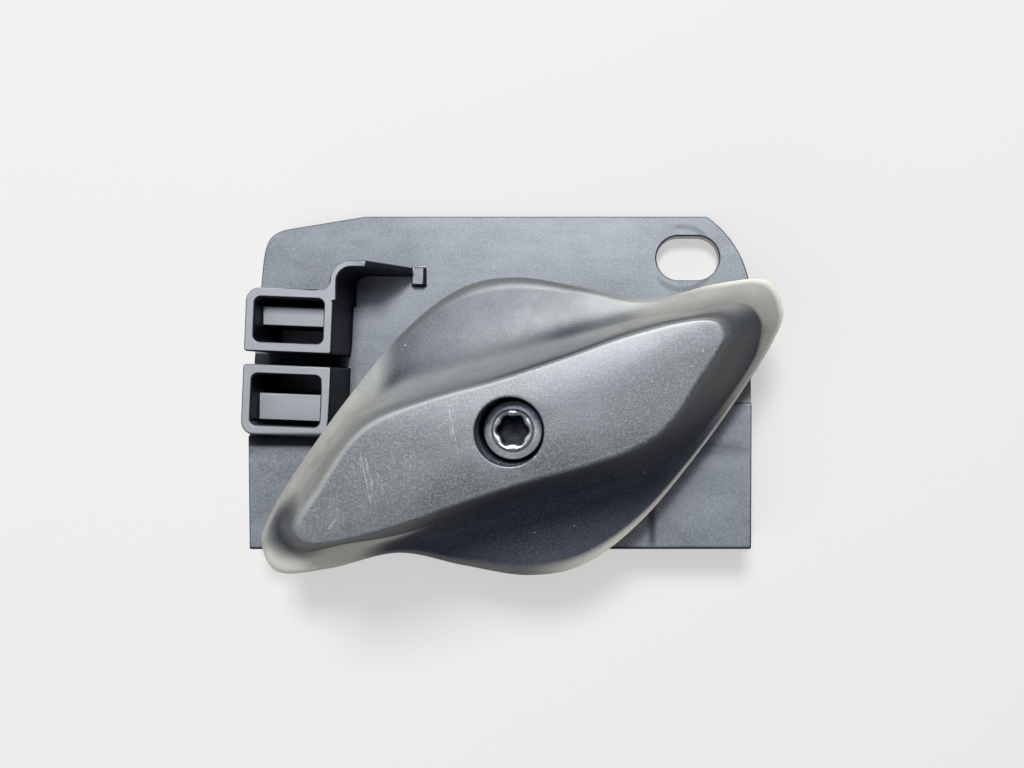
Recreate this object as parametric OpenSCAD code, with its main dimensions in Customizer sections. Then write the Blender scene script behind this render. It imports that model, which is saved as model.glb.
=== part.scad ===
// Hood release handle: a turning grip on a moulded bracket, with the cable lever behind it.
// Millimetres. The origin is the centre of the fixing slot on the rear seat, +Z towards the driver.
// Everything is drawn about the turning axis and moved to the slot at the end.

/* [Plate] */
// Thickness of the flat upper plate
plate_t = 3; // [2.4:0.1:4]
// Reach of the plate to the left of the turning axis
plate_left = 48.5; // [48:0.1:56]
// Reach of the plate to the right of the turning axis
plate_right = 38.7; // [38:0.1:50]
// Reach of the plate above the turning axis
plate_top = 36.2; // [34:0.1:44]
// Radius of the shoulder at the upper right
shoulder_r = 17.8; // [15:0.1:20]
// Drop from the plate's top edge to the shoulder's centre
shoulder_drop = 14.7; // [12:0.1:14.8]
// Distance that the left edge leans in towards the top
edge_lean = 1.6; // [0:0.1:3]
// Drop of the chamfer at the upper left
chamfer_drop = 2.7; // [1:0.1:6]
// Length of the chamfer at the upper left
chamfer_len = 13.2; // [8:0.1:18]
// Radius of the corner under the chamfer
chamfer_corner_r = 5; // [2:0.1:8]

/* [Fixing slot] */
// Width of the fixing slot
slot_w = 7.7; // [5:0.1:9]
// Length of the fixing slot, end to end
slot_len = 11; // [9.2:0.1:13]
// Distance of the slot to the right of the turning axis
slot_x = 27.6; // [26.4:0.1:28.6]
// Distance of the slot above the turning axis
slot_y = 28.9; // [28:0.1:30]

/* [Housing] */
// Height of the raised deck above the rear seat, at its upper edge
deck_h = 9.8; // [9:0.1:11]
// Fall of the deck towards its lower edge
deck_fall = 0.6; // [0:0.1:1.6]
// Height of the deck's upper edge above the turning axis
deck_edge = 3.4; // [2:0.1:5]
// The same on the left, below the sockets, as a distance under the axis
left_edge = 2; // [1:0.1:4]
// Distance from the axis to the step between the two edges
step_x = 18; // [15:0.1:20]
// Run of the ramp from the deck down to the plate
ramp_run = 5; // [3:0.1:8]
// Reach of the housing below the turning axis
deck_bottom = 21; // [20.4:0.1:26]
// Distance that the housing stands in from the plate's left side
left_in = 1.9; // [0.5:0.1:2.4]
// Distance that the housing stands in from the plate's right side
right_in = 0.9; // [0.5:0.1:2.4]
// Wall of the housing
wall = 2.2; // [1.6:0.1:2.6]
// Thickness of the ribs behind the deck
rib_t = 1.6; // [1:0.1:2.4]
// Gap between the ribs and the rear seat
rib_gap = 1; // [0.5:0.1:2]
// Distance from the axis to the first rib on the left
left_rib = 24; // [22:0.5:26]
// Distance between the ribs on the left
left_rib_pitch = 10; // [8:0.5:12]
// Distance from the axis to the first rib on the right
right_rib = 22.5; // [21:0.5:24]
// Distance between the ribs on the right
right_rib_pitch = 7; // [5:0.5:7]

/* [Sockets] */
// Height of the socket rims above the rear seat
rim_h = 13; // [11.5:0.1:14]
// Width of both sockets
socket_w = 14.4; // [12:0.1:15.2]
// Height of the upper socket, seen from the front
upper_socket_h = 10.5; // [9:0.1:11]
// Height of the lower socket, seen from the front
lower_socket_h = 11.6; // [9.5:0.1:12.2]
// Gap between the sockets
socket_gap = 2.1; // [1:0.1:3]
// Wall of the sockets
socket_wall = 1.55; // [1:0.05:2]
// Radius of the outer corners of the socket group
outer_corner_r = 2.2; // [1:0.1:3]
// Radius of the corners beside the gap
inner_corner_r = 0.5; // [0.2:0.1:0.8]
// Radius of the corners of the pockets
pocket_r = 1; // [0.4:0.1:1.6]
// Floor of the sockets
socket_floor = 1.5; // [1:0.1:3]
// Height of the key bar in each socket
bar_h = 7; // [4:0.1:10]
// Width of the key bar in the upper socket
upper_bar_w = 3.3; // [2:0.1:4.5]
// Width of the key bar in the lower socket
lower_bar_w = 4.6; // [3:0.1:5.5]
// Height of the upper key bar above its socket's middle
upper_bar_up = 0.8; // [0.4:0.1:1.2]
// Distance of the lower key bar below its socket's middle
lower_bar_down = 1.2; // [0.6:0.1:1.4]
// Distance of the socket group to the left of the turning axis
socket_x = 38.8; // [38.4:0.05:39.4]
// Height of the gap between the sockets above the turning axis
socket_y = 10.9; // [10.4:0.1:12]
// Lean of the socket group
socket_lean = 2.3; // [0:0.1:4]

/* [Hook wall] */
// Thickness of the hook wall
hook_t = 1.2; // [0.8:0.1:2]
// Distance of the hook's long face above the turning axis
hook_y = 27.2; // [26.4:0.1:29]
// Distance of the hook's upright face to the left of the turning axis
hook_x = 31.9; // [31.7:0.1:32.4]
// Outer radius of the bend
hook_r = 3.6; // [2:0.1:5]
// Distance that the long face leans in towards its end
hook_lean = 0.2; // [0:0.1:0.6]
// Distance from the turning axis to the hook's end, on the left
hook_end = 20.4; // [17:0.1:22]
// Length of the slope at the hook's end
hook_slope = 5.6; // [3:0.1:8]
// Height of the hook at the foot of its slope
hook_low = 5; // [4.6:0.1:8]
// Radius of the fillet between the hook and the socket
hook_fillet = 1.5; // [0.8:0.1:1.6]
// Width of the pad at the hook's end
pad_w = 2; // [1.4:0.1:3]
// Length of that pad down from the hook
pad_len = 3.2; // [2:0.1:4]
// Height of that pad above the plate
pad_h = 1.2; // [0.6:0.1:1.5]

/* [Bearing] */
// Diameter of the shaft's journal
journal_d = 12; // [11.9:0.1:13]
// Radial running clearance
run_gap = 0.05; // [0.02:0.01:0.09]
// Wall of the bearing boss
boss_wall = 2.4; // [1.6:0.1:3]
// Height of the bearing's rear face above the rear seat
bearing_h = 5.5; // [5:0.1:6]
// Height of the spring's seat above the deck
seat_rise = 0.2; // [0.1:0.1:0.6]
// Margin of the seat outside the coil
seat_margin = 0.8; // [0.4:0.1:1]
// Height of the boss above the spring's seat
boss_rise = 2.4; // [2:0.1:3]
// Axial clearance at each end of the bearing
thrust_gap = 0.3; // [0.2:0.05:0.4]

/* [Cable lever] */
// Angle of the turn from rest to the stop
travel = 45; // [30:1:50]
// Direction of the arm at rest
arm_at_rest = -70; // [-80:1:-60]
// Distance from the axis to the cable's end
arm_r = 13.5; // [12.5:0.1:13.8]
// Width of the arm
arm_w = 6; // [4:0.1:7]
// Thickness of the arm and the flange
arm_t = 4; // [3:0.1:4.2]
// Diameter of the flange
flange_d = 16; // [15.4:0.1:17]
// Clearance round the flange
flange_gap = 1.2; // [0.8:0.1:1.4]
// Diameter of the seat for the cable's end
nipple_d = 5.2; // [4:0.1:5.6]
// Wall round that seat
nipple_wall = 1.3; // [1:0.1:1.4]
// Depth of that seat
nipple_depth = 3.1; // [2:0.1:3.4]
// Slit for the wire
wire_slit = 1.9; // [1.4:0.1:2.4]
// Diameter of the stops
stop_d = 3.2; // [2.4:0.1:3.6]
// Distance from the axis to the stops
stop_r = 11.4; // [11:0.1:11.8]
// Clearance left at each stop
stop_gap = 0.3; // [0.2:0.05:0.5]
// Width across the flats of the drive square
drive_w = 8.4; // [7:0.1:8.4]
// Length of the drive square
drive_len = 5.7; // [4.5:0.1:7]
// Clearance of the drive square on each side
drive_gap = 0.05; // [0.02:0.01:0.1]

/* [Cable seat] */
// Diameter of the cable cover's seat
cover_d = 5.2; // [4.4:0.1:5.6]
// Width of the slit that the cover is pressed through
cover_slit = 4.4; // [3.6:0.1:4.6]
// Length of the seat, measured from the plate's right edge
cover_len = 8.9; // [6:0.1:10]
// Distance of the seat below the turning axis
cover_y = 12.8; // [12:0.1:13.6]
// Height of the seat's axis above the rear seat
cover_h = 3.2; // [3:0.1:3.4]
// Wall on each side of the seat
seat_wall = 2; // [1.4:0.1:2.4]
// Width of the cable's way through the ribs
cable_way = 4.8; // [4:0.1:5.4]

/* [Screw] */
// Thread diameter
screw_d = 4.9; // [3.9:0.1:5.2]
// Clearance round the thread
screw_gap = 0.05; // [0.02:0.01:0.1]
// Length under the head
screw_len = 14; // [11:0.5:15]
// Head diameter over its flange
head_d = 8.6; // [8:0.1:9.2]
// Head height
head_h = 3.7; // [3:0.1:4.5]
// Thickness of the head's flange
head_flange = 1.1; // [0.8:0.1:1.6]
// Diameter of the head above its flange
head_core_d = 7; // [6.6:0.1:7.6]
// Diameter of the recess over its lobes
recess_d = 4.5; // [4:0.1:5]
// Depth of the recess
recess_depth = 2.4; // [1.5:0.1:2.8]
// Bevel of the head's top edge
head_bevel = 0.5; // [0.2:0.1:0.8]
// Radial clearance of the thread in the handle's web
web_gap = 0.3; // [0.2:0.05:0.5]

/* [Handle] */
// Length of the handle along X
handle_len = 84.6; // [80:0.1:88]
// Width of the handle along Y
handle_wid = 48; // [44:0.1:50]
// Height of the ridge above the skirt's lower edge
handle_h = 17.6; // [15.5:0.1:22]
// Thickness of the skirt's edge
lip_t = 1.8; // [1.4:0.1:2.4]
// Rise from the skirt's lower edge to the foot of the ridge
foot_rise = 3.1; // [2.4:0.1:4]
// Sharpness of the fillet at the ridge's foot, above the round skirt
foot_pull = 2.4; // [1.5:0.1:4]
// Sharpness of that fillet round the tips
tip_pull = 4.6; // [3:0.1:6]
// Length of each leg of the rounding at the ridge's crease
crease_r = 0.6; // [0.4:0.1:1.6]
// Crown of the ridge's flat top
crown = 0.7; // [0:0.1:1.5]
// Wall of the handle
handle_wall = 2.2; // [1.8:0.1:2.6]
// Clearance between the skirt and the socket rims that it passes over
sweep_gap = 0.4; // [0.3:0.1:1]
// Diameter of the hub
hub_d = 15; // [14.4:0.1:15.2]
// Diameter of the counterbore
bore_d = 9.8; // [9.4:0.1:10.6]
// Thickness of the web under the screw's head
web_t = 3; // [2:0.1:4]
// Thickness of the ribs inside the ridge
inner_rib_t = 1.8; // [1.2:0.1:2.4]
// Height of the ribs' lower edges above the skirt's lower edge
inner_rib_up = 2.6; // [1.6:0.1:4]
// Distance from the axis to the first pair of cross ribs
first_rib = 13.5; // [11:0.1:15]
// Distance between the cross ribs
rib_pitch = 9; // [6:0.1:11]

/* [Return spring] */
// Wire diameter
wire_d = 1.2; // [1:0.05:1.3]
// Clearance between the spring and the boss
spring_gap = 0.6; // [0.3:0.1:0.8]
// Turns of the spring, counted up to a whole one
spring_turns = 2; // [1:1:2]
// Length of the spring's lower leg
leg_len = 6; // [5:0.5:7]
// Rise of the spring's upper leg beside the handle's long rib
leg_rise = 4.5; // [4:0.5:6]
// Gap left between the upper leg and that rib
catch_gap = 0.3; // [0.2:0.05:0.5]
// Thickness of the post that holds the lower leg
post_t = 2; // [1.6:0.1:2.6]
// Width of that post along the leg
post_w = 2.6; // [2:0.1:3]
// Gap between the post and the leg
post_gap = 0.1; // [0.05:0.05:0.2]
// Gap between the turns
turn_gap = 0.12; // [0.05:0.01:0.15]
// Gap under the coil
coil_gap = 0.1; // [0.05:0.05:0.2]

/* [Hidden] */
$fn = 64;

// Heights up the axis
seat_h = deck_h + seat_rise;
boss_h = seat_h + boss_rise;
hub_h = boss_h + thrust_gap;
drive_top = hub_h + drive_len;
head_seat = drive_top + web_t;
flange_top = bearing_h - thrust_gap;
flange_low = flange_top - arm_t;
skirt_h = rim_h + sweep_gap;
rim_top = skirt_h + lip_t;
foot_h = skirt_h + foot_rise;
crest_h = skirt_h + handle_h;

// Radii
journal_r = journal_d / 2;
boss_r = journal_r + run_gap + boss_wall;
coil_r = boss_r + spring_gap + wire_d / 2;
spring_seat_r = coil_r + wire_d / 2 + seat_margin;
nipple_boss_r = nipple_d / 2 + nipple_wall;
flange_pocket_r = flange_d / 2 + flange_gap;
rib_places = [first_rib, first_rib + rib_pitch];

// Direction of the ridge
ridge_angle = 25.6;

// Ramp between plate and deck
rise = deck_h - plate_t;
ramp_wall = wall * norm([ramp_run, rise]) / rise;
roof = deck_h - wall;

housing_left = plate_left - left_in;
housing_right = plate_right - right_in;
seat_start = plate_right - cover_len;

// Shares of the recess: radius of its lobes and diameter of its core
lobe_share = 0.1;
core_share = 0.76;

// Depth that one solid is sunk into the next, and overlap of shapes that would only touch
join = 0.2;
touch = 0.01;

// Spring: direction of its lower end, and of its upper end beside the long rib
leg_angle = 150;
catch_angle = 180 + ridge_angle - asin((inner_rib_t / 2 + wire_d / 2 + catch_gap) / coil_r);
coil_turns = spring_turns + (leg_angle - catch_angle) / 360;
coil_low = seat_h + coil_gap + wire_d / 2;
pitch = wire_d + turn_gap;

// Direction of the stops: the arm meets one at rest and the other at the end of its turn
stop_angle = asin((arm_w / 2 + stop_d / 2 + stop_gap) / stop_r);

// Three matched outlines of the handle, over the top from the right tip: skirt edge, foot and crest.
// They are drawn for a handle of 84.6 by 48, and the other half is the same after half a turn.
drawn_size = [84.6, 48];
half_rows = [
    [[42.0, 19.0], [38.4, 16.9], [30.8, 14.0]],
    [[39.3, 23.5], [34.9, 20.0], [29.2, 15.9]],
    [[31.0, 22.9], [27.6, 18.6], [24.5, 15.7]],
    [[20.0, 20.4], [18.6, 17.2], [16.5, 13.6]],
    [[9.5, 22.4], [8.6, 13.6], [8.0, 10.6]],
    [[-1.0, 24.0], [-2.0, 10.1], [-2.0, 7.3]],
    [[-10.0, 22.2], [-10.8, 7.6], [-10.5, 5.0]],
    [[-19.0, 15.4], [-19.8, 5.2], [-18.5, 2.1]],
    [[-28.0, 4.7], [-26.6, 1.8], [-23.0, -1.3]],
    [[-36.0, -6.5], [-33.8, -6.4], [-27.4, -7.8]],
    [[-40.7, -14.3], [-37.6, -13.2], [-29.9, -11.6]]
];
steps_between = 4;
flank_steps = 9;
inner_steps = 6;

// Distances from the axis between which the fillet at the ridge's foot sharpens
sharper_from = 14;
sharper_to = 32;

// Half length of the ridge line that the walls are measured towards
ridge_half = 26.6 * handle_len / drawn_size[0];

// Plain helpers
function unit(v) = v / norm(v);
function turned(p, a) = [p[0] * cos(a) - p[1] * sin(a), p[0] * sin(a) + p[1] * cos(a)];
function clamped(x, low, high) = max(low, min(high, x));
function flat(p) = [p[0], p[1]];

// Points of one rounded corner of an outline, on an arc of radius r
function corner(a, p, b, r, n = 8) =
    r <= 0 ? [p] :
    let (u = unit(a - p), v = unit(b - p), half = acos(u * v) / 2)
    let (from = p + u * r / tan(half), centre = p + unit(u + v) * r / sin(half))
    let (spoke = from - centre, side = cross(u, v) > 0 ? -1 : 1)
    [for (k = [0:n]) centre + turned(spoke, side * (180 - 2 * half) * k / n)];

// An outline from corners given as x, y and radius
function rounded(c) =
    let (n = len(c))
    [for (i = [0:n - 1]) each corner(flat(c[(i + n - 1) % n]), flat(c[i]), flat(c[(i + 1) % n]), c[i][2])];

// A smooth closed curve through points
function between(a, b, c, d, t) =
    0.5 * (2 * b + (c - a) * t + (2 * a - 5 * b + 4 * c - d) * t * t + (3 * b - a - 3 * c + d) * t * t * t);
function smooth_loop(p) =
    let (n = len(p))
    [for (i = [0:n - 1]) for (k = [0:steps_between - 1])
        between(p[(i + n - 1) % n], p[i], p[(i + 1) % n], p[(i + 2) % n], k / steps_between)];

// A curve from a to c that is pulled towards b by weight w
function bend(a, b, c, w, t) =
    ((1 - t) * (1 - t) * a + 2 * w * t * (1 - t) * b + t * t * c) / ((1 - t) * (1 - t) + 2 * w * t * (1 - t) + t * t);

// The handle's outlines at its own length and width
function sized(p) = [p[0] * handle_len / drawn_size[0], p[1] * handle_wid / drawn_size[1]];
function outline(column) =
    let (half = [for (row = half_rows) sized(row[column])])
    smooth_loop(concat(half, -half));
skirt_line = outline(0);
foot_line = outline(1);
crest_line = outline(2);
around = len(skirt_line);

// A point moved by d towards the ridge line
function inward(p, d) =
    let (dir = [cos(ridge_angle), sin(ridge_angle)])
    let (s = dir * clamped(flat(p) * dir, -ridge_half, ridge_half))
    flat(p) + unit(s - flat(p)) * d;
function at_height(p, z) = [p[0], p[1], z];

// Rings of the outer face: crowned top, rounded crease, hollow flank and rounded skirt edge
function crown_ring(q) = [for (p = crest_line) at_height(inward(p, crease_r) * q, crest_h + crown * (1 - q * q))];
function pull(i) =
    let (along = abs(foot_line[i] * [cos(ridge_angle), sin(ridge_angle)]))
    let (share = clamped((along - sharper_from) / (sharper_to - sharper_from), 0, 1))
    foot_pull + (tip_pull - foot_pull) * share * share * (3 - 2 * share);
function flank_point(i, t) =
    bend(at_height(crest_line[i], crest_h), at_height(foot_line[i], foot_h), at_height(skirt_line[i], rim_top),
        pull(i), t);
function crease_end(i) =
    crease_r / (2 * pull(i) * norm(at_height(foot_line[i], foot_h) - at_height(crest_line[i], crest_h)));
function crease_ring(t) = [for (i = [0:around - 1])
    bend(at_height(inward(crest_line[i], crease_r), crest_h), at_height(crest_line[i], crest_h),
        flank_point(i, crease_end(i)), 1, t)];
function flank_ring(q) = [for (i = [0:around - 1]) flank_point(i, crease_end(i) + (1 - crease_end(i)) * q)];
function edge_ring(in, up) = [for (p = skirt_line) at_height(inward(p, in), skirt_h + up)];

// Rings of the inner face, one wall inside the outer one
function inner_flank(t) = [for (i = [0:around - 1])
    bend(at_height(inward(crest_line[i], handle_wall), crest_h - handle_wall),
        at_height(inward(foot_line[i], handle_wall), foot_h - handle_wall),
        at_height(inward(skirt_line[i], lip_t), skirt_h), pull(i), t)];
function inner_top(q) = [for (p = crest_line) at_height(inward(p, handle_wall) * q, crest_h - handle_wall)];

shell_rings = concat(
    [for (q = [0.35, 0.65, 0.85]) crown_ring(q)],
    [for (t = [0, 0.3, 0.65]) crease_ring(t)],
    [for (k = [0:flank_steps]) flank_ring(k / flank_steps)],
    [edge_ring(0, lip_t * 0.4), edge_ring(0.2, lip_t * 0.12), edge_ring(0.6, 0)],
    [for (k = [inner_steps:-1:0]) inner_flank(k / inner_steps)],
    [inner_top(0.5)]
);

// A closed skin over rings, with a point at each end
module skin(rings, first, last) {
    n = len(rings[0]);
    m = len(rings);
    points = concat([first], [for (r = rings) each r], [last]);
    faces = concat(
        [for (i = [0:n - 1]) [0, 1 + (i + 1) % n, 1 + i]],
        [for (j = [0:m - 2]) for (i = [0:n - 1]) each [
            [1 + j * n + i, 1 + j * n + (i + 1) % n, 1 + (j + 1) * n + (i + 1) % n],
            [1 + j * n + i, 1 + (j + 1) * n + (i + 1) % n, 1 + (j + 1) * n + i]
        ]],
        [for (i = [0:n - 1]) [1 + m * n, 1 + (m - 1) * n + i, 1 + (m - 1) * n + (i + 1) % n]]
    );
    polyhedron(points, faces, convexity = 10);
}

module about_axis() translate([-slot_x, -slot_y, 0]) children();

module slot_shape(w, l, h) {
    for (x = [-1, 1]) translate([x * (l - w) / 2, 0, 0]) cylinder(d = w, h = h);
    translate([-(l - w) / 2, -w / 2, 0]) cube([l - w, w, h]);
}

// The flat plate, with its chamfer, its large shoulder and its slightly leaning left edge
module plate() {
    corner_x = plate_left - edge_lean;
    chamfer_x = corner_x - chamfer_corner_r + 0.4;
    shoulder_y = plate_top - shoulder_drop;
    meet = sqrt(shoulder_r * shoulder_r - shoulder_drop * shoulder_drop);
    centre = plate_right - shoulder_r;
    start = acos(meet / shoulder_r);
    arc = [for (k = [0:12]) [centre + shoulder_r * cos(start * k / 12), shoulder_y + shoulder_r * sin(start * k / 12)]];
    left_part = rounded([
        [-plate_left, -deck_bottom, 0.8],
        [0, -deck_bottom, 0],
        [0, plate_top, 0],
        [chamfer_len - chamfer_x, plate_top, 4],
        [-chamfer_x, plate_top - chamfer_drop, chamfer_corner_r * 0.6],
        [-corner_x, plate_top - chamfer_drop - chamfer_corner_r, chamfer_corner_r * 0.8],
        [-plate_left, socket_y, 0]
    ]);
    linear_extrude(plate_t) polygon(left_part);
    linear_extrude(plate_t) polygon(concat([[0, -deck_bottom], [plate_right, -deck_bottom]], arc, [[0, plate_top]]));
}

// Side outline of the housing, as seen along X, with its upper edge at the given height
module housing_side(edge, x0, x1) {
    slope_low = deck_h - deck_fall * (deck_bottom + edge) / (deck_bottom + deck_edge);
    translate([x0, 0, 0]) rotate([90, 0, 90]) linear_extrude(x1 - x0)
        polygon([[-deck_bottom, 0], [edge + ramp_run, 0], [edge + ramp_run, plate_t], [edge, deck_h],
            [-deck_bottom, slope_low]]);
}

module cavity_side(edge, x0, x1) {
    slope_low = deck_h - deck_fall * (deck_bottom + edge) / (deck_bottom + deck_edge);
    foot = edge - ramp_wall + ramp_run * deck_h / rise;
    translate([x0, 0, 0]) rotate([90, 0, 90]) linear_extrude(x1 - x0)
        polygon([[wall - deck_bottom, -1], [foot + ramp_run / rise, -1], [edge - ramp_wall + ramp_run * wall / rise, roof],
            [wall - deck_bottom, slope_low - wall]]);
}

// One socket block, closed at the back, centred on its own middle
module socket_block(h, r_top, r_low) {
    linear_extrude(rim_h) polygon(rounded([
        [-socket_w / 2, -h / 2, r_low],
        [socket_w / 2, -h / 2, r_low],
        [socket_w / 2, h / 2, 0],
        [-socket_w / 2, h / 2, r_top]
    ]));
}

module socket_pocket(h) {
    w = socket_w - 2 * socket_wall;
    inner = h - 2 * socket_wall;
    translate([0, 0, socket_floor]) linear_extrude(rim_h) polygon(rounded([
        [-w / 2, -inner / 2, pocket_r],
        [w / 2, -inner / 2, pocket_r],
        [w / 2, inner / 2, pocket_r],
        [-w / 2, inner / 2, pocket_r]
    ]));
}

module key_bar(w, y) {
    translate([-socket_w / 2 + socket_wall / 2, y - w / 2, socket_floor / 2])
        cube([socket_w - socket_wall, w, bar_h - socket_floor / 2]);
}

module socket_group() {
    translate([-socket_x, socket_y, 0]) rotate(-socket_lean) children();
}
upper_y = socket_gap / 2 + upper_socket_h / 2;
lower_y = -socket_gap / 2 - lower_socket_h / 2;

// The curved wall beside the sockets, sloping down to a low foot
module hook_wall() {
    inner_x = hook_x - hook_t;
    inner_y = hook_y - hook_t;
    socket_top = socket_y + socket_gap / 2 + upper_socket_h;
    outline = rounded([
        [-hook_x, socket_top - 2, 0],
        [-hook_x, hook_y, hook_r],
        [-hook_end, hook_y - hook_lean, 0],
        [-hook_end, inner_y - hook_lean, 0],
        [-inner_x, inner_y, hook_r - hook_t],
        [-inner_x, socket_top - 2, 0]
    ]);
    intersection() {
        linear_extrude(rim_h) polygon(outline);
        translate([0, hook_y + 1, 0]) rotate([90, 0, 0]) linear_extrude(hook_y)
            polygon([[-hook_x - 1, 0], [-hook_x - 1, rim_h], [-hook_end - hook_slope, rim_h],
                [-hook_end, hook_low], [-hook_end, 0]]);
    }
    hook_to_socket(socket_top);
    translate([-hook_end - join, hook_y - pad_len, 0]) cube([pad_w + join, pad_len, plate_t + pad_h]);
}

// Hollow fillet between the hook's upright face and the top edge of the leaning socket
module hook_to_socket(socket_top) {
    low = socket_top - (socket_x - hook_x - hook_fillet) * sin(socket_lean);
    arc = [for (k = [0:8]) [-hook_x - hook_fillet * (1 - cos(90 * k / 8)), low + hook_fillet * (1 - sin(90 * k / 8))]];
    linear_extrude(rim_h)
        polygon(concat([[-hook_x + join, low - 2 * join], [-hook_x + join, low + hook_fillet]], arc,
            [[-hook_x - hook_fillet, low - 2 * join]]));
}

module ribs_behind() {
    for (x = [-left_rib - left_rib_pitch, -left_rib, right_rib, right_rib + right_rib_pitch]) {
        edge = x < -step_x ? -left_edge : deck_edge;
        translate([x - rib_t / 2, -deck_bottom + wall / 2, rib_gap])
            cube([rib_t, deck_bottom - wall / 2 + edge, deck_h - deck_fall - wall / 2 - rib_gap]);
    }
}

module bracket() {
    color([0.42, 0.44, 0.47]) about_axis() difference() {
        union() {
            difference() {
                union() {
                    plate();
                    housing_side(-left_edge, -housing_left, -step_x + touch);
                    housing_side(deck_edge, -step_x, housing_right);
                }
                cavity_side(-left_edge, -housing_left + wall, -step_x + wall + touch);
                cavity_side(deck_edge, -step_x + wall, housing_right - wall);
            }
            ribs_behind();
            bearing_boss();
            socket_group() {
                translate([0, upper_y, 0]) socket_block(upper_socket_h, outer_corner_r, inner_corner_r);
                translate([0, lower_y, 0]) socket_block(lower_socket_h, inner_corner_r, outer_corner_r);
            }
            hook_wall();
            cable_seat_block();
            stops();
            spring_post();
        }
        cable_seat_bore();
        lever_room();
        translate([0, 0, -1]) cylinder(r = journal_r + run_gap, h = boss_h + 2);
        translate([slot_x, slot_y, -1]) slot_shape(slot_w, slot_len, plate_t + 2);
        socket_group() {
            difference() {
                translate([0, upper_y, 0]) socket_pocket(upper_socket_h);
                key_bar(upper_bar_w, upper_y + upper_bar_up);
            }
            difference() {
                translate([0, lower_y, 0]) socket_pocket(lower_socket_h);
                key_bar(lower_bar_w, lower_y - lower_bar_down);
            }
        }
    }
}

// The boss and the spring's seat hang from the deck over the lever's arm, and stand on the plate above it
module bearing_boss() {
    translate([0, 0, bearing_h]) cylinder(r = spring_seat_r, h = seat_h - bearing_h);
    translate([0, 0, bearing_h]) cylinder(r = boss_r, h = boss_h - bearing_h);
    intersection() {
        cylinder(r = spring_seat_r, h = seat_h);
        translate([-spring_seat_r, 0, 0]) cube([2 * spring_seat_r, spring_seat_r, seat_h]);
    }
}

// Room behind the bearing for the lever's flange, and the wire's way through the ribs
module lever_room() {
    difference() {
        translate([0, 0, -1]) cylinder(r = flange_pocket_r, h = bearing_h + 1);
        stops();
    }
    start = right_rib - rib_t;
    translate([start, -cover_y - cable_way / 2, -1])
        cube([seat_start - start + touch, cable_way, cover_h + cable_way / 2 + 1]);
}

module stops() {
    for (a = [arm_at_rest + stop_angle, arm_at_rest - travel - stop_angle])
        rotate(a) translate([stop_r, 0, rib_gap]) cylinder(d = stop_d, h = roof - rib_gap);
}

module cable_seat_block() {
    translate([seat_start, -cover_y - cover_d / 2 - seat_wall, 0])
        cube([housing_right - seat_start, cover_d + 2 * seat_wall, deck_h - deck_fall - wall / 2]);
}

module cable_seat_bore() {
    translate([seat_start, -cover_y, cover_h]) rotate([0, 90, 0]) cylinder(d = cover_d, h = cover_len + 1);
    translate([seat_start - 1, -cover_y - cover_slit / 2, -1]) cube([cover_len + 2, cover_slit, cover_h + 1]);
}

// Post on the outer side of the spring's lower leg, which pushes outwards when the handle is turned
module spring_post() {
    rotate(leg_angle) translate([coil_r + wire_d / 2 + post_gap, leg_len - post_w, 0])
        cube([post_t, post_w, coil_low + wire_d]);
}

// The handle's hollow shell
module handle_shell() {
    skin(shell_rings, [0, 0, crest_h + crown], [0, 0, crest_h - handle_wall]);
}

// Ribs under the ridge: one along it each way from the hub, and two across it on each side.
// They are cut from the ridge's own outline, in steps that stay inside its leaning wall.
module handle_ribs() {
    low = skirt_h + inner_rib_up;
    for (t = [0, 0.02, 0.05, 0.1, 0.17, 0.26]) {
        cut = [for (i = [0:around - 1]) inward(flank_point(i, t), handle_wall / 2)];
        top = min(flank_point(0, t)[2], crest_h - handle_wall / 2);
        translate([0, 0, low]) linear_extrude(top - low) intersection() {
            polygon(cut);
            rib_plan();
        }
    }
}

module rib_plan() {
    rotate(ridge_angle) difference() {
        union() {
            square([2 * handle_len, inner_rib_t], center = true);
            for (x = rib_places) for (side = [-1, 1]) translate([side * x, 0])
                square([inner_rib_t, handle_wid], center = true);
        }
        circle(d = hub_d - inner_rib_t);
    }
}

module handle() {
    color([0.5, 0.52, 0.54]) about_axis() difference() {
        union() {
            handle_shell();
            translate([0, 0, hub_h]) cylinder(d = hub_d, h = crest_h - handle_wall / 2 - hub_h);
            handle_ribs();
        }
        translate([0, 0, head_seat]) cylinder(d = bore_d, h = handle_h + crown);
        translate([0, 0, hub_h - 1]) cylinder(r = screw_d / 2 + web_gap, h = head_seat - hub_h + 2);
        socket_w = drive_w + 2 * drive_gap;
        translate([-socket_w / 2, -socket_w / 2, hub_h - 1]) cube([socket_w, socket_w, drive_len + 1]);
    }
}

// Shaft, flange and arm in one casting, with the seat for the cable's end
module cable_lever() {
    color([0.66, 0.67, 0.68]) about_axis() difference() {
        union() {
            translate([0, 0, flange_low]) linear_extrude(arm_t) arm_plan();
            translate([0, 0, flange_low + join]) cylinder(d = journal_d, h = hub_h - flange_low - join);
            translate([-drive_w / 2, -drive_w / 2, hub_h - join]) cube([drive_w, drive_w, drive_len + join]);
        }
        translate([0, 0, drive_top - screw_len]) cylinder(d = screw_d + 2 * screw_gap, h = screw_len + 1);
        rotate(arm_at_rest) translate([arm_r, 0, flange_low - 1]) {
            cylinder(d = nipple_d, h = nipple_depth + 1);
            wire_way();
        }
    }
}

module arm_plan() {
    circle(d = flange_d);
    rotate(arm_at_rest) {
        translate([0, -arm_w / 2]) square([arm_r, arm_w]);
        translate([arm_r, 0]) circle(r = nipple_boss_r);
    }
}

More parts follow.
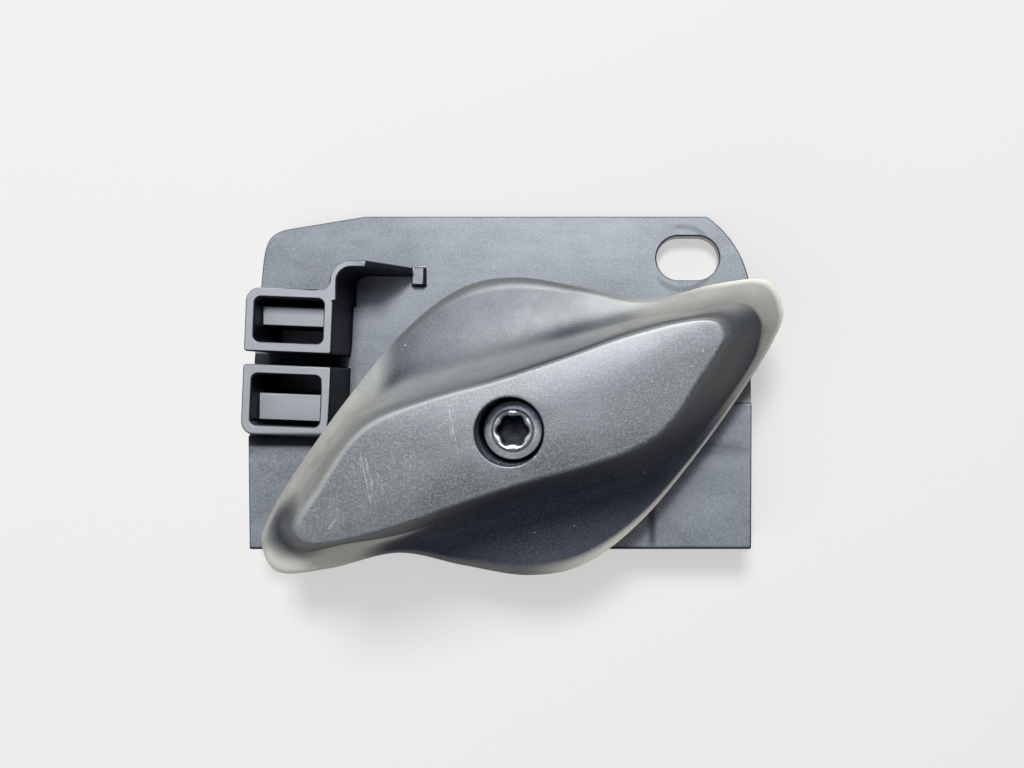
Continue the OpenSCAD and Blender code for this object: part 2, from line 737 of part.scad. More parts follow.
// The slit is a fan, because the wire keeps its direction while the arm turns
module wire_way() {
    reach = 2 * nipple_boss_r;
    half = wire_slit / 2;
    linear_extrude(nipple_depth + 1) polygon([
        turned([0, -half], -arm_at_rest),
        turned([reach, -half], -arm_at_rest),
        turned([reach, half], travel - arm_at_rest),
        turned([0, half], travel - arm_at_rest)
    ]);
}

module handle_screw() {
    color([0.16, 0.16, 0.17]) about_axis() difference() {
        union() {
            translate([0, 0, head_seat]) cylinder(d = head_d, h = head_flange);
            translate([0, 0, head_seat]) cylinder(d = head_core_d, h = head_h - head_bevel);
            translate([0, 0, head_seat + head_h - head_bevel])
                cylinder(d1 = head_core_d, d2 = head_core_d - 2 * head_bevel, h = head_bevel);
            translate([0, 0, head_seat - screw_len]) cylinder(d = screw_d, h = screw_len);
        }
        translate([0, 0, head_seat + head_h - recess_depth]) linear_extrude(recess_depth + 1) six_lobes(recess_d);
    }
}

// Six round lobes on a round core
module six_lobes(d) {
    lobe = d * lobe_share;
    circle(d = d * core_share);
    for (a = [0:60:300]) rotate(a) translate([d / 2 - lobe, 0]) circle(r = lobe);
    for (a = [0:60:120]) rotate(a) square([d - 2 * lobe, 2 * lobe], center = true);
}

// The spring's line: a straight lower leg, the coil, and an upper leg that rises into the ridge.
// The coil winds tighter when the long rib pushes the upper leg on.
function on_coil(turn) = [
    coil_r * cos(leg_angle - 360 * turn),
    coil_r * sin(leg_angle - 360 * turn),
    coil_low + pitch * turn
];
coil_steps = floor(24 * coil_turns);
coil_end = on_coil(coil_turns);
spring_line = concat(
    [on_coil(0) + leg_len * [-sin(leg_angle), cos(leg_angle), 0]],
    [for (k = [0:coil_steps]) on_coil(k / coil_steps * coil_turns)],
    [coil_end + [0, 0, wire_d], coil_end + [0, 0, leg_rise]]
);

// Rings of a wire along a line that never runs straight at the axis
function wire_rings(line, r, sides = 8) =
    let (n = len(line))
    [for (i = [0:n - 1])
        let (ahead = unit(line[min(i + 1, n - 1)] - line[max(i - 1, 0)]))
        let (side = unit(cross(ahead, [line[i][0], line[i][1], 0])), up = cross(side, ahead))
        [for (k = [0:sides - 1]) line[i] + r * (side * cos(360 * k / sides) + up * sin(360 * k / sides))]];

module return_spring() {
    color([0.6, 0.61, 0.62]) about_axis()
        skin(wire_rings(spring_line, wire_d / 2), spring_line[0], spring_line[len(spring_line) - 1]);
}

bracket();
handle();
cable_lever();
handle_screw();
return_spring();
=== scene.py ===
"""A worn hood release handle of grained charcoal plastic, seen from above on a pale table in soft light.

The grip's shell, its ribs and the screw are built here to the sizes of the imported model. The bracket is a
softened copy of its node, and the lever and the spring are their nodes with a finish of their own.
"""

import functools
import math

import bmesh
import bpy
import numpy as np
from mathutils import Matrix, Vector


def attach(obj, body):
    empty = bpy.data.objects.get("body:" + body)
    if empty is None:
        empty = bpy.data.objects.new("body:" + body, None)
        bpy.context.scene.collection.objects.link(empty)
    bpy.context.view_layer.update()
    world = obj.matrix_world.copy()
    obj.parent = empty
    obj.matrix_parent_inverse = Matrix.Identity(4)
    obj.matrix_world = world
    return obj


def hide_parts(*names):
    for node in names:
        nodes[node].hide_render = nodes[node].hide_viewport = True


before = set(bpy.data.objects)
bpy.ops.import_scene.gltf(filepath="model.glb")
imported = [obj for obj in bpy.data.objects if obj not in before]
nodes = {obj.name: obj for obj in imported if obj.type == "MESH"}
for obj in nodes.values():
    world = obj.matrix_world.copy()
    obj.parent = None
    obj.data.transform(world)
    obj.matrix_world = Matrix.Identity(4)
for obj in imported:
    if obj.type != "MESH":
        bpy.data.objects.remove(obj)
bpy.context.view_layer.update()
scene = bpy.context.scene

# The part's lengths are written in millimetres and multiplied by this for Blender. The table, the lamps and
# the camera are given in metres.
MM = 0.001

# The turning axis in the row frame
PIVOT = np.array([-27.6, -28.9])

# Heights of the grip over the ground: the skirt's lower edge, the lip's own height and its top, the ridge's
# foot and crest, the hub's lower end, the counterbore's floor and the ribs' lower edge
SKIRT_H = 13.4
LIP_T = 1.8
RIM_TOP = SKIRT_H + LIP_T
FOOT_H = SKIRT_H + 3.1
CREST_H = SKIRT_H + 17.6
HUB_H = 12.7
HEAD_SEAT = 21.4
RIB_LOW = SKIRT_H + 2.6

# The crown's rise from the crest to the axis, the rounding of the crease round it, the rounding of the lip's
# lower edge inwards and upwards, and the shell's wall
CROWN = 0.7
CREASE_R = 0.6
LIP_IN, LIP_UP = 0.6, 0.7
WALL = 2.2

# How strongly the flank is drawn into the ridge's foot, over the round skirt and round the tips, and the
# distances along the ridge between which the one becomes the other
FOOT_PULL = 2.4
TIP_PULL = 4.6
SHARPER_FROM, SHARPER_TO = 14.0, 32.0

# Radii of the hub, the counterbore, the rounding of its mouth and the hole in its floor
HUB_R = 7.5
BORE_R = 4.9
BORE_ROUND = 0.35
WEB_HOLE_R = 2.75

# The ribs: half their thickness, how far along the ridge the cross ribs stand, the share of the flank that
# they reach down, and the number of their stations on it
RIB_HALF = 0.9
RIB_PLACES = (13.5, 22.5)
RIB_FOOT = 0.26
RIB_STATIONS = 12

# The screw: the shank, the collar over it, the ring on the collar, and the six-lobed recess. Heights are over
# the head's seat.
SHANK_R, SHANK_LEN = 2.45, 14.0
COLLAR_R, COLLAR_H = 4.35, 5.8
RING_R, RING_H = 3.1, 6.4
RECESS_R, RECESS_WAVE, RECESS_DEPTH = 2.2, 0.17, 2.6

# The ridge's way and half its length
RIDGE_ANGLE = math.radians(25.6)
RIDGE_HALF = 26.6
RIDGE = np.array([math.cos(RIDGE_ANGLE), math.sin(RIDGE_ANGLE)])
ACROSS = np.array([-RIDGE[1], RIDGE[0]])

# Half of the grip's outlines about the turning axis, over the top from the right tip:
# the skirt's edge, the ridge's foot and the ridge's crest. The other half is the same after half a turn.
HALF_ROWS = np.array([
    [[42.0, 19.0], [38.4, 16.9], [30.8, 14.0]],
    [[39.3, 23.5], [34.9, 20.0], [29.2, 15.9]],
    [[31.0, 22.9], [27.6, 18.6], [24.5, 15.7]],
    [[20.0, 20.4], [18.6, 17.2], [16.5, 13.6]],
    [[9.5, 22.4], [8.6, 13.6], [8.0, 10.6]],
    [[-1.0, 24.0], [-2.0, 10.1], [-2.0, 7.3]],
    [[-10.0, 22.2], [-10.8, 7.6], [-10.5, 5.0]],
    [[-19.0, 15.4], [-19.8, 5.2], [-18.5, 2.1]],
    [[-28.0, 4.7], [-26.6, 1.8], [-23.0, -1.3]],
    [[-36.0, -6.5], [-33.8, -6.4], [-27.4, -7.8]],
    [[-40.7, -14.3], [-37.6, -13.2], [-29.9, -11.6]],
])
STEPS = 12

# How many rings the bore's mouth, the crown, the crease, the flank, the lip and the inner face are cut into,
# and how strongly the flank's rings crowd towards the crease
MOUTH_RINGS, CROWN_RINGS, CREASE_RINGS, FLANK_RINGS, LIP_RINGS, INNER_RINGS = 6, 12, 8, 40, 7, 12
FLANK_CROWDING = 1.3


def new_piece(name, points, faces, finish, body, smooth=True):
    """Puts points, given in millimetres, and a list of faces into a mesh object that rides on a body."""
    mesh = bpy.data.meshes.new(name)
    mesh.from_pydata((points * MM).tolist(), [], faces)
    mesh.update()
    piece = bpy.data.objects.new(name, mesh)
    scene.collection.objects.link(piece)
    mesh.materials.append(finish)
    if smooth:
        mesh.shade_smooth()
    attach(piece, body)
    return piece


def set_attribute(piece, name, values):
    layer = piece.data.attributes.new(name, "FLOAT", "POINT")
    layer.data.foreach_set("value", np.asarray(values, np.float32).ravel())


def grid_faces(rows, around):
    """Quads between the rows of a grid of points, closed round each row."""
    i = np.arange(around)
    row = np.arange(rows - 1)[:, None] * around
    a, b = row + i, row + (i + 1) % around
    return np.stack([a, b, b + around, a + around], axis=-1).reshape(-1, 4)


def smooth_loop(points, steps):
    """Closed curve through the points: on each stretch b to c, half of
    2b + (c - a)t + (2a - 5b + 4c - d)t^2 + (3b - a - 3c + d)t^3, with a before b and d after c."""
    a, b, c, d = (np.roll(points, s, axis=0)[:, None] for s in (1, 0, -1, -2))
    t = (np.arange(steps) / steps)[None, :, None]
    square, cube = 2 * a - 5 * b + 4 * c - d, 3 * b - a - 3 * c + d
    curve = 0.5 * (2 * b + (c - a) * t + square * t**2 + cube * t**3)
    return curve.reshape(-1, points.shape[1])


def outline(column):
    """One of the grip's three outlines, closed by the half turn."""
    half = HALF_ROWS[:, column]
    return smooth_loop(np.concatenate([half, -half]), STEPS)


def step(x, low, high):
    """Smooth step from 0 at low to 1 at high: t^2 (3 - 2t)."""
    t = np.clip((x - low) / (high - low), 0, 1)
    return t * t * (3 - 2 * t)


def inward(points, distance):
    """Points moved towards the nearest point of the ridge's middle line."""
    middle = np.clip(points @ RIDGE, -RIDGE_HALF, RIDGE_HALF)[:, None] * RIDGE
    way = middle - points
    return points + way / np.linalg.norm(way, axis=1, keepdims=True) * distance


def lifted(points, height):
    return np.column_stack([points, np.broadcast_to(height, len(points))])


def bend(a, b, c, pull, t):
    """Conic from a to c drawn towards b: weights (1-t)^2, 2 pull t(1-t) and t^2, divided by their sum."""
    u, v, w = (1 - t) ** 2, 2 * pull * t * (1 - t), t * t
    return (u * a + v * b + w * c) / (u + v + w)


SKIRT, FOOT, CREST = (outline(column) for column in range(3))

# The pull at each point of the outlines
SHARPNESS = step(np.abs(FOOT @ RIDGE), SHARPER_FROM, SHARPER_TO)
PULL = (FOOT_PULL + (TIP_PULL - FOOT_PULL) * SHARPNESS)[:, None]

# Share of the flank that the crease's rounding takes, so that both legs of the rounding are alike
FLANK_LEG = np.linalg.norm(lifted(FOOT, FOOT_H) - lifted(CREST, CREST_H), axis=1)[:, None]
CREASE_END = CREASE_R / (2 * PULL * FLANK_LEG)


def flank(t):
    """The ring at the share t of the way from the crest down to the skirt."""
    return bend(lifted(CREST, CREST_H), lifted(FOOT, FOOT_H), lifted(SKIRT, RIM_TOP), PULL, t)


def grip_rings():
    """Rings from the counterbore's floor up, over the crown, down the flank, round the lip and up inside.

    The second array says where each ring lies: -1 in the bore, -0.2 on the crown, -0.1 to 0 round the crease,
    0 to 1 down the flank, 1 to 2 round the lip and 3 inside."""
    angle = np.arctan2(CREST[:, 1], CREST[:, 0])
    unit = np.column_stack([np.cos(angle), np.sin(angle)])
    inner = inward(CREST, CREASE_R)
    rings, fall = [], []

    def add(ring, where):
        rings.append(ring)
        fall.append(where)

    def crown_height(points):
        """The crown is highest at the axis and falls with the square of the distance to the crest."""
        share = np.linalg.norm(points, axis=1) / np.linalg.norm(inner, axis=1)
        return CREST_H + CROWN * (1 - share**2)

    # The hole's wall and the counterbore, whose corner is rounded
    bore = ((WEB_HOLE_R, HUB_H), (WEB_HOLE_R, HEAD_SEAT), (BORE_R - 0.5, HEAD_SEAT),
            (BORE_R - 0.12, HEAD_SEAT + 0.12), (BORE_R, HEAD_SEAT + 0.5))
    for radius, height in bore:
        add(lifted(unit * radius, height), -1)
    for turn in np.radians(np.linspace(0, 90, MOUTH_RINGS)):
        points = unit * (BORE_R + BORE_ROUND * (1 - math.cos(turn)))
        height = crown_height(points) - BORE_ROUND * (1 - math.sin(turn))
        add(lifted(points, height), -1 if turn < 0.8 else -0.2)

    # The crown and the crease round it
    rim = unit * (BORE_R + BORE_ROUND)
    for share in (*np.linspace(0, 1, CROWN_RINGS)[1:-1], 0.97, 1):
        points = rim + (inner - rim) * share
        add(lifted(points, crown_height(points)), -0.2 if share < 1 else -0.1)
    crease = lifted(inner, CREST_H), lifted(CREST, CREST_H), flank(CREASE_END)
    for t in np.linspace(0, 1, CREASE_RINGS)[1:-1]:
        add(bend(*crease, 1.0, t), -0.1 * (1 - t))

    # The flank, whose rings are closer near the crease, and the lip
    for share in np.linspace(0, 1, FLANK_RINGS) ** FLANK_CROWDING:
        add(flank(CREASE_END + (1 - CREASE_END) * share), share)
    for turn in np.radians(np.linspace(0, 90, LIP_RINGS)[1:]):
        ring = lifted(inward(SKIRT, LIP_IN * (1 - math.cos(turn))), SKIRT_H + LIP_UP * (1 - math.sin(turn)))
        add(ring, 1 + turn / math.pi * 2)

    # The inner face, and the hub's outer wall and end
    inside = (lifted(inward(CREST, WALL), CREST_H - WALL), lifted(inward(FOOT, WALL), FOOT_H - WALL),
              lifted(inward(SKIRT, LIP_T), SKIRT_H))
    for t in np.linspace(1, 0, INNER_RINGS):
        add(bend(*inside, PULL, t), 3)
    for radius, height in ((HUB_R, CREST_H - WALL), (HUB_R, HUB_H), (WEB_HOLE_R, HUB_H)):
        add(lifted(unit * radius, height), 3)
    return np.array(rings), np.broadcast_to(np.array(fall, float)[:, None], (len(rings), len(SKIRT)))


# Shader trees

def new_group(name, inputs, outputs):
    """An empty shader group with its sockets; each is given as a name, a kind and, for inputs, a value."""
    group = bpy.data.node_groups.new(name, "ShaderNodeTree")
    for label, kind, value in inputs:
        socket = group.interface.new_socket(label, in_out="INPUT", socket_type=kind)
        if value is not None:
            socket.default_value = value
    for label, kind in outputs:
        group.interface.new_socket(label, in_out="OUTPUT", socket_type=kind)
    return group, group.nodes.new("NodeGroupInput").outputs, group.nodes.new("NodeGroupOutput").inputs


def add_node(tree, kind, inputs=(), **settings):
    """A node with its settings, and its inputs set to values or linked to other nodes' outputs."""
    node = tree.nodes.new(kind)
    for key, value in settings.items():
        setattr(node, key, value)
    for key, value in dict(inputs).items():
        if isinstance(value, bpy.types.NodeSocket):
            tree.links.new(value, node.inputs[key])
        else:
            node.inputs[key].default_value = value
    return node


def maths(tree, operation, a, b=0.0, clamp=False):
    return add_node(tree, "ShaderNodeMath", {0: a, 1: b}, operation=operation, use_clamp=clamp).outputs[0]


def times(tree, *factors):
    return functools.reduce(lambda a, b: maths(tree, "MULTIPLY", a, b), factors)


def strongest(tree, *masks):
    return functools.reduce(lambda a, b: maths(tree, "MAXIMUM", a, b), masks)


def vector(tree, operation, inputs, output="Vector"):
    return add_node(tree, "ShaderNodeVectorMath", inputs, operation=operation).outputs[output]


def ramp(tree, value, low, high, out_low=0.0, out_high=1.0):
    """The value carried smoothly from the range low to high into the range out_low to out_high."""
    inputs = {"Value": value, "From Min": low, "From Max": high, "To Min": out_low, "To Max": out_high}
    return add_node(tree, "ShaderNodeMapRange", inputs, interpolation_type="SMOOTHSTEP").outputs["Result"]


def share_of(tree, mask, at_none, at_full):
    """A factor that goes from at_none to at_full as the mask goes from 0 to 1."""
    return ramp(tree, mask, 0.0, 1.0, at_none, at_full)


def rising(tree, length, start, end):
    """0 up to the start and 1 from the end on; both are in millimetres."""
    return ramp(tree, length, start * MM, end * MM)


def falling(tree, length, start, end):
    """1 up to the start and 0 from the end on; both are in millimetres."""
    return ramp(tree, length, start * MM, end * MM, 1.0, 0.0)


def band(tree, length, middle, half, soft):
    """1 within half of the middle, falling to 0 over the soft width; all three are in millimetres."""
    away = maths(tree, "ABSOLUTE", maths(tree, "SUBTRACT", length, middle * MM))
    return falling(tree, away, half, half + soft)


def mixed(tree, factor, a, b):
    """The colour a at a factor of 0 and b at 1; sockets 6 and 7 are the two colours."""
    return add_node(tree, "ShaderNodeMix", {0: factor, 6: a, 7: b}, data_type="RGBA").outputs[2]


def painted(tree, colour, paint, mask, amount):
    """The colour with some of the paint over it where the mask is set."""
    return mixed(tree, times(tree, mask, amount), colour, paint)


def noise(tree, place, scale, detail=2.0, rough=0.5):
    inputs = {"Vector": place, "Scale": scale, "Detail": detail, "Roughness": rough}
    return add_node(tree, "ShaderNodeTexNoise", inputs).outputs["Fac"]


def grain_group():
    """Spark-eroded mould grain: two noises, one 2.3 times as fine as the other, are added six parts to four
    for the height, and its peaks come out as specks."""
    group, given, out = new_group(
        "mould_grain",
        [("Place", "NodeSocketVector", None), ("Pitch", "NodeSocketFloat", 0.0004)],
        [("Height", "NodeSocketFloat"), ("Specks", "NodeSocketFloat")],
    )
    scale = maths(group, "DIVIDE", 1.0, given["Pitch"])
    coarse = noise(group, given["Place"], scale, 1.0)
    fine = noise(group, given["Place"], times(group, scale, 2.3), 1.0)
    height = maths(group, "ADD", times(group, coarse, 0.6), times(group, fine, 0.4))
    group.links.new(height, out["Height"])
    group.links.new(ramp(group, height, 0.44, 0.66), out["Specks"])
    return group


def cloud_group():
    """Slow changes of tone across a moulding: a soft noise of the given size, its contrast raised."""
    group, given, out = new_group(
        "tone_clouds",
        [("Place", "NodeSocketVector", None), ("Size", "NodeSocketFloat", 0.01)],
        [("Tone", "NodeSocketFloat")],
    )
    soft = noise(group, given["Place"], maths(group, "DIVIDE", 1.0, given["Size"]), 3.0, 0.6)
    group.links.new(ramp(group, soft, 0.35, 0.65), out["Tone"])
    return group


def scratch_group():
    """A straight scratch seen from above. A point's distance to the line from Start to End is compared
    with half the width, and noise along the line breaks it up."""
    group, given, out = new_group(
        "scratch",
        [("Place", "NodeSocketVector", None), ("Start", "NodeSocketVector", None),
         ("End", "NodeSocketVector", None), ("Width", "NodeSocketFloat", 0.0002),
         ("Breaks", "NodeSocketFloat", 0.5)],
        [("Mask", "NodeSocketFloat")],
    )
    flat = vector(group, "MULTIPLY", {0: given["Place"], 1: (1.0, 1.0, 0.0)})
    from_start = vector(group, "SUBTRACT", {0: flat, 1: given["Start"]})
    whole = vector(group, "SUBTRACT", {0: given["End"], 1: given["Start"]})
    along = vector(group, "DOT_PRODUCT", {0: from_start, 1: whole}, "Value")
    length = vector(group, "DOT_PRODUCT", {0: whole, 1: whole}, "Value")
    share = maths(group, "DIVIDE", along, length, clamp=True)
    nearest = vector(group, "SCALE", {0: whole, "Scale": share})
    gap = vector(group, "DISTANCE", {0: from_start, 1: nearest}, "Value")
    line = ramp(group, maths(group, "DIVIDE", gap, given["Width"]), 0.3, 1.0, 1.0, 0.0)
    broken = noise(group, given["Place"], 1400.0)
    kept = ramp(group, broken, given["Breaks"], maths(group, "ADD", given["Breaks"], 0.12))
    group.links.new(times(group, line, kept), out["Mask"])
    return group


def dust_group():
    """Loose specks: the middles of small cells, kept where the cell's random value is under the amount."""
    group, given, out = new_group(
        "dust",
        [("Place", "NodeSocketVector", None), ("Pitch", "NodeSocketFloat", 0.0012),
         ("Amount", "NodeSocketFloat", 0.1)],
        [("Mask", "NodeSocketFloat")],
    )
    scale = maths(group, "DIVIDE", 1.0, given["Pitch"])
    cells = add_node(group, "ShaderNodeTexVoronoi", {"Vector": given["Place"], "Scale": scale}).outputs
    dot = ramp(group, cells["Distance"], 0.06, 0.16, 1.0, 0.0)
    pick = add_node(group, "ShaderNodeSeparateColor", {"Color": cells["Color"]}).outputs["Red"]
    group.links.new(times(group, dot, maths(group, "LESS_THAN", pick, given["Amount"])), out["Mask"])
    return group


def facing_group():
    """How far a face looks one way: the share of its normal along the unit vector Way, carried from the
    range Low to High into 0 to 1."""
    group, given, out = new_group(
        "facing",
        [("Normal", "NodeSocketVector", None), ("Way", "NodeSocketVector", (0, 0, 1)),
         ("Low", "NodeSocketFloat", 0.7), ("High", "NodeSocketFloat", 0.93)],
        [("Mask", "NodeSocketFloat")],
    )
    share = vector(group, "DOT_PRODUCT", {0: given["Normal"], 1: given["Way"]}, "Value")
    group.links.new(ramp(group, share, given["Low"], given["High"]), out["Mask"])
    return group


GRAIN, CLOUDS, SCRATCH, DUST = grain_group(), cloud_group(), scratch_group(), dust_group()
FACING = facing_group()


def placed(tree, group, inputs):
    """A group placed in a material's tree, with its inputs set or linked."""
    return add_node(tree, "ShaderNodeGroup", inputs, node_tree=group).outputs


def grained(tree, place, pitch):
    return placed(tree, GRAIN, {"Place": place, "Pitch": pitch * MM})


def clouds(tree, place, size):
    return placed(tree, CLOUDS, {"Place": place, "Size": size * MM})["Tone"]


def dusty(tree, place, pitch, amount):
    return placed(tree, DUST, {"Place": place, "Pitch": pitch * MM, "Amount": amount})["Mask"]


def facing(tree, low, high, way=(0.0, 0.0, 1.0)):
    normal = tree.nodes.new("ShaderNodeTexCoord").outputs["Normal"]
    return placed(tree, FACING, {"Normal": normal, "Way": way, "Low": low, "High": high})["Mask"]


def material(name, roughness, specular=0.5, metallic=0.0):
    made = bpy.data.materials.new(name)
    made.use_nodes = True
    shader = made.node_tree.nodes["Principled BSDF"]
    shader.inputs["Roughness"].default_value = roughness
    shader.inputs["Specular IOR Level"].default_value = specular
    shader.inputs["Metallic"].default_value = metallic
    return made, made.node_tree, shader


def object_place(tree):
    return tree.nodes.new("ShaderNodeTexCoord").outputs["Object"]


def attribute(tree, name):
    return add_node(tree, "ShaderNodeAttribute", attribute_name=name).outputs["Fac"]


def polished(tree, shader, weight):
    """Faces that hands and cloths reach carry a thin sheen of the given weight."""
    tree.links.new(weight, shader.inputs["Coat Weight"])
    shader.inputs["Coat Roughness"].default_value = 0.52
    shader.inputs["Coat IOR"].default_value = 1.9


def bumped(tree, shader, height, depth, strength=1.0):
    """Raises the surface by the height times the depth, in millimetres."""
    bump = add_node(tree, "ShaderNodeBump", {"Strength": strength, "Distance": depth * MM, "Height": height})
    tree.links.new(bump.outputs["Normal"], shader.inputs["Normal"])


# Colours of the grip. A pair is the darker and the lighter end of a mixture.
GRIP_BLACK = (0.006, 0.008, 0.016, 1), (0.020, 0.025, 0.037, 1)
GRIP_TOP = (0.046, 0.051, 0.056, 1), (0.072, 0.078, 0.084, 1)
GRIP_TOP_BLOTCH = (0.030, 0.034, 0.040, 1)
GRIP_TOP_SPECK = (0.125, 0.132, 0.140, 1)
# the grey of the upper flank, partly wear and partly painted light on the side turned to the lamp
GRIP_GREY = (0.165, 0.172, 0.178, 1), (0.235, 0.228, 0.208, 1)
GRIP_GREY_BLOTCH = (0.12, 0.122, 0.12, 1)
GRIP_BEIGE = (0.165, 0.158, 0.142, 1), (0.20, 0.193, 0.173, 1)
# painted light: the paler beige of the left tip's lower flange, which lies in the ridge's shadow
GRIP_LIT_BEIGE = (0.30, 0.29, 0.265, 1)
# painted shade in the grip's creases and hollows
GRIP_SHADE = (0.008, 0.010, 0.014, 1)
# painted highlight along the lip's edge
GRIP_RIM_HIGHLIGHT = (0.62, 0.58, 0.51, 1)
# painted highlight along the crease on the upper side
GRIP_CREASE_LIGHT = (0.17, 0.175, 0.18, 1)
GRIP_MARK = (0.24, 0.25, 0.265, 1)
GRIP_DUST = (0.45, 0.44, 0.42, 1)

# Colours of the bracket, in the same way
BRACKET_BLACK = (0.005, 0.006, 0.010, 1)
FILM = (0.050, 0.057, 0.073, 1), (0.083, 0.091, 0.110, 1)
FILM_STREAK = (0.035, 0.041, 0.056, 1)
FILM_BLOTCH = (0.11, 0.115, 0.125, 1)
FILM_SPECK = (0.15, 0.155, 0.165, 1)
# painted light: the paler rims and key bars of the sockets
FILM_RAISED_LIGHT = (0.17, 0.175, 0.185, 1)
# painted light: the slot's wall, pale even where it lies in shade
SLOT_WALL_LIGHT = (0.55, 0.54, 0.52, 1)
# painted light: the pale right part of the ramp, which faces the window
RAMP_LIGHT = (0.34, 0.33, 0.31, 1)
BRACKET_DUST = (0.40, 0.39, 0.37, 1)

# Colours of the screw
PLATING = (0.42, 0.43, 0.45, 1), (0.78, 0.78, 0.79, 1)
PLATING_SPECK = (0.30, 0.30, 0.31, 1)
# painted shade in the screw's recess
RECESS_SHADE = (0.012, 0.012, 0.013, 1)

# Marks on the bracket, in millimetres from the slot. A pair is where a fade starts and ends, and three
# numbers are a band's middle, half width and soft edge.
FILM_AND_LIGHT_WAY = (0.0, 0.45, 0.893)            # the way that a face looks to carry the film, tilted towards the window: dust and painted light on faces turned to it, painted shade on walls turned away
SHADED_LOWER_EDGE = (-49.7, -49.2)               # painted shade along the deck's lower edge, which turns away from the light
SMUDGE = (-33.0, 0.0, 1.9)               # the long smudge across the deck
STREAK_X = (-6.5, 0.1, 1.0)              # the upright streak on the deck
STREAK_Y = (-46.0, 2.0, 2.5)
IMPRINT_AT = (-1.0, 0.0, 0.0)            # the ring that a fixing screw's flange pressed in, round here
IMPRINT = (6.3, 0.15, 0.5)
GAP_SHADE_Y = (-18.1, 1.2, 0.4)             # painted shade in the narrow gap between the sockets, low down
GAP_SHADE_Z = (3.5, 4.5)
SOCKET_SHADOW_Y = (-31.4, 0.8, 0.8)              # painted shadow of the lower socket on the deck under it
SHADE_X = (-61.2, -59.6)
RAISED_X = (-57.0, -54.0)                # the rims of the sockets, the wall next to them and the key bars, painted paler as painted light
RAISED_Y = (-30.5, -30.0)
RAISED_Z = (9.0, 9.5)
SLOT_X = (0.0, 5.7, 0.1)                 # the fixing slot, whose wall is painted pale as painted light
SLOT_Y = (0.0, 3.9, 0.1)
RAMP_X = (-2.0, 0.0)                     # the right part of the ramp between plate and deck, painted pale as painted light
RAMP_Y = (-22.9, 2.1, 0.3)

# Scratches on the grip's flat top, about the turning axis: from, to and half width
TOP_SCRATCHES = [
    ((-21.6, -1.6), (-19.6, -10.3), 0.13),
    ((-21.3, -2.6), (-20.1, -8.4), 0.07),
    ((-20.3, -4.6), (-19.3, -9.9), 0.12),
    ((-18.8, -5.8), (-17.8, -8.6), 0.10),
    ((-26.0, -14.0), (-24.6, -12.4), 0.15),
    ((3.9, 11.0), (7.2, 12.1), 0.16),
    ((-8.6, 3.2), (-7.0, -3.6), 0.09),
    ((20.0, 7.4), (22.4, 6.0), 0.08),
]
SCRATCH_BREAKS = 0.42

# Patches of fine parallel scuffs there: the middle, and half the patch's length and width
TOP_SCUFFS = [
    ((-20.4, -5.8), 5.6, 2.3),
    ((-15.0, -3.8), 2.6, 1.9),
    ((-7.4, 1.0), 5.0, 1.7),
    ((-18.2, 3.2), 2.4, 3.0),
    ((-24.4, -11.6), 1.8, 1.8),
    ((6.0, 10.6), 1.2, 3.6),
]

# The turn of the scuffs' way in radians, how far their noise is drawn out along it, and its scale
SCUFF_TURN = -0.2
SCUFF_DRAWN = (1.0, 0.1, 1.0)
SCUFF_SCALE = 3600.0


def on_grip(point):
    """A point about the turning axis, as a place in the row frame."""
    return (*((np.array(point) + PIVOT) * MM), 0.0)


def scuffs(tree, place, patches):
    """Fine scuffs that run down the grip: noise drawn out along their way, kept inside the patches."""
    turned = add_node(tree, "ShaderNodeVectorRotate", {"Vector": place, "Angle": SCUFF_TURN},
                      rotation_type="Z_AXIS").outputs[0]
    drawn = vector(tree, "MULTIPLY", {0: turned, 1: SCUFF_DRAWN})
    lines = ramp(tree, noise(tree, drawn, SCUFF_SCALE, 2.0, 0.6), 0.55, 0.68)
    masks = []
    for middle, half_long, half_wide in patches:
        away = vector(tree, "SUBTRACT", {0: place, 1: on_grip(middle)})
        size = (1 / (half_wide * MM), 1 / (half_long * MM), 0.0)
        share = vector(tree, "MULTIPLY", {0: away, 1: size})
        masks.append(ramp(tree, vector(tree, "LENGTH", {0: share}, "Value"), 0.3, 1.1, 0.8, 0.0))
    return times(tree, strongest(tree, *masks), lines)


def scratches(tree, place, lines):
    """The strongest of several scratches at each point."""
    masks = []
    for start, end, width in lines:
        inputs = {"Place": place, "Start": on_grip(start), "End": on_grip(end), "Width": width * MM,
                  "Breaks": SCRATCH_BREAKS}
        masks.append(placed(tree, SCRATCH, inputs)["Mask"])
    return strongest(tree, *masks)


